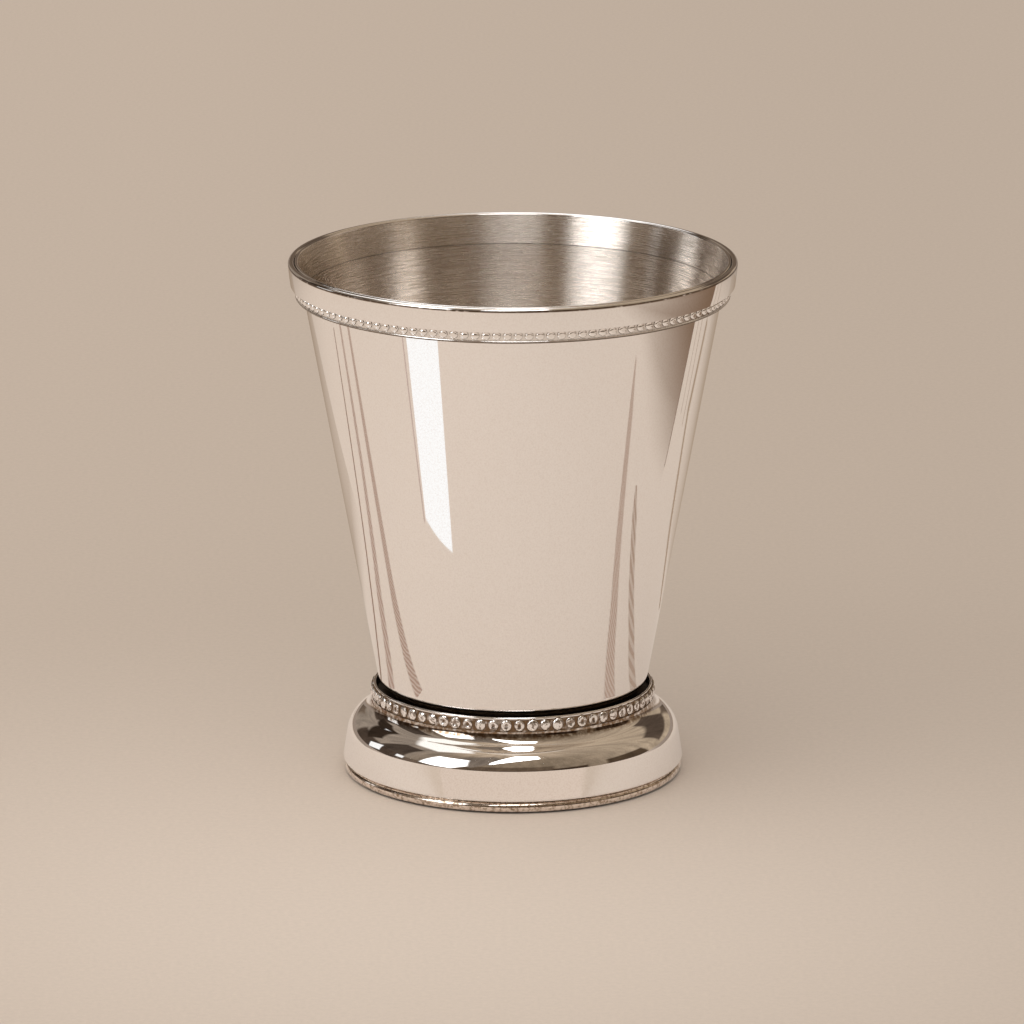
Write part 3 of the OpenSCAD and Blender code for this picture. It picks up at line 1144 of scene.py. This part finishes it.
@dataclass(frozen=True)
class Tabletop(Finish):
    """Matt pale paper. Its felted fibres scatter the light evenly and leave a faint mottle. A painted pool of
    light makes it lighter in front of the cup, and painted shade makes it darker to the right."""

    name: str = "pale matt paper"
    near: str = "E3D1C0"
    far: str = "C9B7A6"
    lit_centre: Point = (-12.0, -85.0)
    lit_reach: float = 225.0
    right_reach: float = 110.0
    right_shade: float = 0.93
    mottle: Point = (0.955, 1.045)
    mirrored_near: str = "E6D6C8"
    mirrored_far: str = "D7C5B4"
    mirrored_reach: Point = (80.0, 700.0)
    mirrored_shade_behind: str = "8C7D6F"
    back: Point = (110.0, 640.0)

    def dress(self, nodes: Nodes) -> Inputs:
        """Returns the paper's tone: for the eye, with the painted pool of light and the painted shade; for
        the plate, a lighter tone as a painted reflection, with painted shade far behind.
        """
        spot = nodes.place()
        # painted pool of light: lighter towards lit_centre
        away = nodes.vector("DISTANCE", spot, (*self.lit_centre, 0.0))
        seen = nodes.blend(nodes.rise(away, 0.0, self.lit_reach), self.near, self.far)
        mirrored = nodes.blend(nodes.ramp(away, *self.mirrored_reach), self.mirrored_near, self.mirrored_far)
        # painted shade far behind, seen only in the plate
        behind = nodes.rise(nodes.axis(spot, "Y"), *self.back)
        mirrored = nodes.blend(behind, mirrored, self.mirrored_shade_behind)
        glossy = nodes.add("ShaderNodeLightPath").outputs["Is Glossy Ray"]
        mottle = nodes.ramp(nodes.noise(spot, 0.9, detail=6.0, roughness=0.75), 0.3, 0.7, *self.mottle)
        # painted shade to the right of the cup
        right = nodes.ramp(nodes.axis(spot, "X"), -self.right_reach, self.right_reach, 1.0, self.right_shade)
        gain = nodes.maths("MULTIPLY", mottle, right)
        return {"Base Color": nodes.scaled(nodes.blend(glossy, seen, mirrored), gain), "Roughness": 1.0,
                "Specular IOR Level": 0.0}


@dataclass
class Studio:
    """The room that the plate mirrors, the light on the floor and the camera.

    Pairs such as left_to_right say where one wall's tone gives way to the next one's, along an axis of the
    direction that the plate mirrors.
    """

    backdrop: str = "C1B0A0"
    horizon: str = "D9C7B8"
    horizon_back: str = "95867A"
    horizon_el: float = 4.6
    horizon_blur: float = 0.008
    left_wall: str = "8F8275"
    right_wall: str = "A99782"
    front_wall: str = "857563"
    ceiling: str = "B09D88"
    left_to_right: Point = (-0.45, 0.2)
    side_to_front: Point = (0.15, -0.6)
    wall_to_ceiling: Point = (0.78, 0.97)
    front_to_back: Point = (0.0, 0.6)
    streaks: float = 0.3
    streak_scale: float = 7.5
    streak_rise: float = 0.4
    key: Point = (-40.0, 50.0)
    key_light: float = 0.85
    key_power: float = 4.0
    soft_light: float = 0.72
    mark_level: float = 9.0
    mark_gap: float = 0.02
    camera_el: float = 14.5
    camera_away: float = 1.5
    camera_aim: Point = (-0.00017, 0.05279)
    lens: float = 264.18
    shades: tuple[Panel, ...] = (
        Band("dark room behind", "66574A", ((160, -5), (200, 34)), softness=5.0),
        Band("low shelf in front", "5E4F41", ((-58, -5), (30, 28)), softness=5.0),
        Band("low shelf on the left", "68594C", ((-90, -5), (-54, 17)), softness=2.5),
        Band("low shelf behind on the left", "483C33", ((-142, -5), (-88, 22)), softness=4.0),
        Panel("shade between the windows", "796D62", ((-52, 48), (-20, 66), (-6, 46), (-31, 20)), 1.0, 4.0),
        Panel("dark left wall", "453B33", ((-112, 21), (-106, 45), (-84, 47), (-84, 19)), softness=3.0),
        Panel("dark doorway", "30261E", ((-127, 15), (-158, 33), (-148, 44), (-121, 30)), softness=3.0),
        Panel("dark corner", "51443A", ((163, 15), (124, 10), (122, 31), (160, 32)), softness=4.0),
        Panel("chair on the right", "4F4032", ((68, 3), (108, 3), (104, 19), (70, 21)), softness=3.5),
        Band("bag on the right", "3E3025", ((28, 2), (54, 18)), softness=3.0),
    )
    lights: tuple[Panel, ...] = (
        Panel("left window", "FFFFFF",
              ((-68, 16), (-63, 43), (-38, 45), (-34, 26), (-44, 14), (-58, 14)), 3.6, 4.0),
        Panel("front softbox", "FFFFFF", ((30, 66), (27, 57), (-18, 37), (-18, 42), (4, 69)), 5.5, 1.5),
        Panel("pale ceiling overhead", "DDCFBF", ((0, 72), (90, 72), (180, 72), (270, 72)), 1.0, 6.0),
        Panel("far window", "FFFFFF", ((-118, 5), (-120, 14), (-108, 22), (-106, 9)), 1.0, 1.5),
        Panel("small window", "FFFFFF", ((-90, 12), (-90, 18), (-83, 18), (-83, 12)), 1.0, 1.5),
        Panel("bright ceiling on the left", "FFFBF5",
              ((-158, 50), (-164, 60), (-60, 70), (-80, 55), (-110, 52)), 1.1, 4.0),
        Panel("back softbox", "FFFFFF", ((172, 36), (212, 36), (206, 70), (175, 70)), 1.8, 3.0),
    )
    # Each mark glows with its own tone and shows only in the plate: painted reflections.
    marks: tuple[Mark, ...] = (
        Sheet("dim floor behind on the left", "9C8773", 1.0,
              ((-108, 58, 0), (0, 62, 0), (-122, 104, 0.4), (0, 115, 0.85), (-190, 400, 0.5), (0, 420, 1))),
        Sheet("dim floor behind on the right", "A08B76", 1.0,
              ((0, 62, 0), (105, 42, 0), (0, 115, 0.85), (125, 100, 0.12), (0, 420, 1), (210, 330, 0.3))),
        Sheet("dark cloth on the right", "7A624F", 1.0,
              ((128, 33, 0), (126, -10, 0), (150, 53, 0.4), (148, -20, 0), (170, 72, 0.65), (172, -60, 0),
               (215, 114, 0.95), (214, -150, 0.1), (300, 196, 1), (290, -260, 0.1), (450, 330, 1),
               (450, -400, 0))),
        Cord("fold on the right", "9F8974", 1.0,
             ((50, 70, 14), (95, 88, 16), (151, 123, 17), (184, 184, 18))),
        Cord("edge of the cloth", "7C6656", 0.8, ((140, 44, 2), (180, 80, 3), (240, 138, 4), (300, 196, 4))),
        Cord("first line beyond the cloth", "A08A78", 0.8, ((160, 86, 2), (240, 162, 3), (300, 222, 3))),
        Cord("second line beyond the cloth", "A58F7D", 0.8, ((150, 98, 3), (200, 150, 4), (280, 240, 4))),
        Cord("upper line on the left", "93796A", 0.5,
             ((-205, 96, 4), (-154, 76, 5), (-80, 46, 5), (-55, 34, 5), (-36, 22, 5))),
        Cord("upper cord on the left", "AA9082", 0.35,
             ((-225, 72, 7), (-142, 42, 10), (-80, 24, 12), (-58, 13, 10), (-40, 4, 8)), hatch=3.4),
        Cord("lower cord on the left", "A88D7E", 0.35,
             ((-225, 41, 7), (-142, 16, 10), (-80, -3, 9), (-56, -12, 7.5), (-38, -19, 6)), hatch=1.6),
        Cord("upper cord on the right", "A58F7F", 0.35,
             ((38, 4, 9), (66, 1, 10), (90, -7, 10), (113, -15, 10), (126, -20, 4)), hatch=5.0),
        Cord("lower cord on the right", "AB9384", 0.35,
             ((36, -16, 9), (71, -25, 10), (109, -39, 10), (146, -52, 9), (168, -61, 3)), hatch=1.9),
        Cord("edge of the card", "BCA59B", 0.8, ((-165, -93, 3), (-155, -89, 3.4), (-89, -61, 2.4))),
        Sheet("white card", "FFFFFF", 0.3,
              ((-157, -98, 1), (-114, -137, 1), (-89, -63.3, 1), (-57.7, -75.6, 1))),
    )

    def build(self) -> None:
        """Makes the room, the floor, what lies on it and the camera."""
        self.room()
        self.floor()
        for number, mark in enumerate(self.marks):
            mark.lay(self.mark_level + self.mark_gap * number)
        self.camera()

    def mirrored_room(self, nodes: Nodes, way: Socket) -> Socket:
        """Paints the room that the plate mirrors: its walls and what is dark in it, broken into upright
        streaks, then its lights, all above a pale horizon.

        Args:
            nodes: the world's nodes.
            way: the direction.

        Returns:
            The colour output.
        """
        x, y, z = (nodes.axis(way, name) for name in "XYZ")
        colour = nodes.blend(nodes.rise(x, *self.left_to_right), self.left_wall, self.right_wall)
        colour = nodes.blend(nodes.rise(y, *self.side_to_front), colour, self.front_wall)
        colour = nodes.blend(nodes.rise(z, *self.wall_to_ceiling), colour, self.ceiling)
        for shade in self.shades:
            colour = shade.paint(nodes, way, colour)
        flat = nodes.vector("NORMALIZE", nodes.vector("MULTIPLY", way, (1.0, 1.0, 0.0)))
        rise = nodes.add("ShaderNodeCombineXYZ", {"Z": z}).outputs[0]
        upright = nodes.vector("MULTIPLY_ADD", rise, (self.streak_rise,) * 3, flat)
        clutter = nodes.noise(upright, self.streak_scale, detail=4.0, roughness=0.65)
        gain = nodes.ramp(clutter, 0.3, 0.7, 1 - self.streaks, 1 + self.streaks)
        colour = nodes.scaled(colour, gain)
        for light in self.lights:
            colour = light.paint(nodes, way, colour)
        level = math.sin(math.radians(self.horizon_el))
        far = nodes.blend(nodes.rise(y, *self.front_to_back), self.horizon, self.horizon_back)
        return nodes.blend(nodes.rise(z, level - self.horizon_blur, level + self.horizon_blur), far, colour)

    def room(self) -> None:
        """Makes the world. The plate mirrors the room, the floor is lit softly from the left, and the camera
        sees a plain backdrop."""
        world = bpy.data.worlds.new("room")
        world.use_nodes = True
        world.cycles.sampling_method = "NONE"
        world.node_tree.nodes.clear()
        nodes = Nodes(world.node_tree)
        way = nodes.add("ShaderNodeTexCoord").outputs["Generated"]
        lobe = nodes.maths("MAXIMUM", nodes.vector("DOT_PRODUCT", way, heading(*self.key)), 0.0)
        lobe = nodes.maths("POWER", lobe, self.key_power)
        soft = nodes.maths("MULTIPLY_ADD", lobe, self.key_light, self.soft_light)
        ray = nodes.add("ShaderNodeLightPath").outputs
        colour = nodes.blend(ray["Is Glossy Ray"], soft, self.mirrored_room(nodes, way))
        colour = nodes.blend(ray["Is Camera Ray"], colour, self.backdrop)
        shader = nodes.add("ShaderNodeBackground", {"Color": colour, "Strength": 1.0})
        nodes.add("ShaderNodeOutputWorld", {"Surface": shader.outputs[0]})
        bpy.context.scene.world = world

    def floor(self) -> None:
        """Lays a plain pale floor."""
        steps, reach = 96, 4.0
        mesh = bpy.data.meshes.new("floor")
        turns = [2 * math.pi * i / steps for i in range(steps)]
        rim = [(reach * math.cos(t), reach * math.sin(t), 0.0) for t in turns]
        mesh.from_pydata(rim, [], [tuple(range(steps))])
        floor = bpy.data.objects.new("floor", mesh)
        bpy.context.scene.collection.objects.link(floor)
        mesh.materials.append(Tabletop().build())

    def camera(self) -> None:
        """Sets the camera at the photograph's angle. Its distance and aim are in metres."""
        elevation, away, (aside, aim_z) = math.radians(self.camera_el), self.camera_away, self.camera_aim
        data = bpy.data.cameras.new("camera")
        data.sensor_width = 36.0
        data.lens = self.lens
        data.clip_end = 50.0
        camera = bpy.data.objects.new("camera", data)
        camera.location = (aside, -away * math.cos(elevation), aim_z + away * math.sin(elevation))
        camera.rotation_euler = (math.pi / 2 - elevation, 0.0, 0.0)
        bpy.context.scene.collection.objects.link(camera)
        bpy.context.scene.camera = camera


def main() -> None:
    """Builds the cup's sub-assemblies in order, then the room round them."""
    logging.basicConfig(level=logging.INFO, format="%(message)s")
    bpy.context.scene.view_settings.view_transform = "Standard"
    shop = Workshop()
    bowl = Bowl(shop)
    for assembly in (bowl, Rim(shop, bowl), Foot(shop, bowl), Seams(), Studio()):
        assembly.build()


if __name__ == "__main__":
    main()
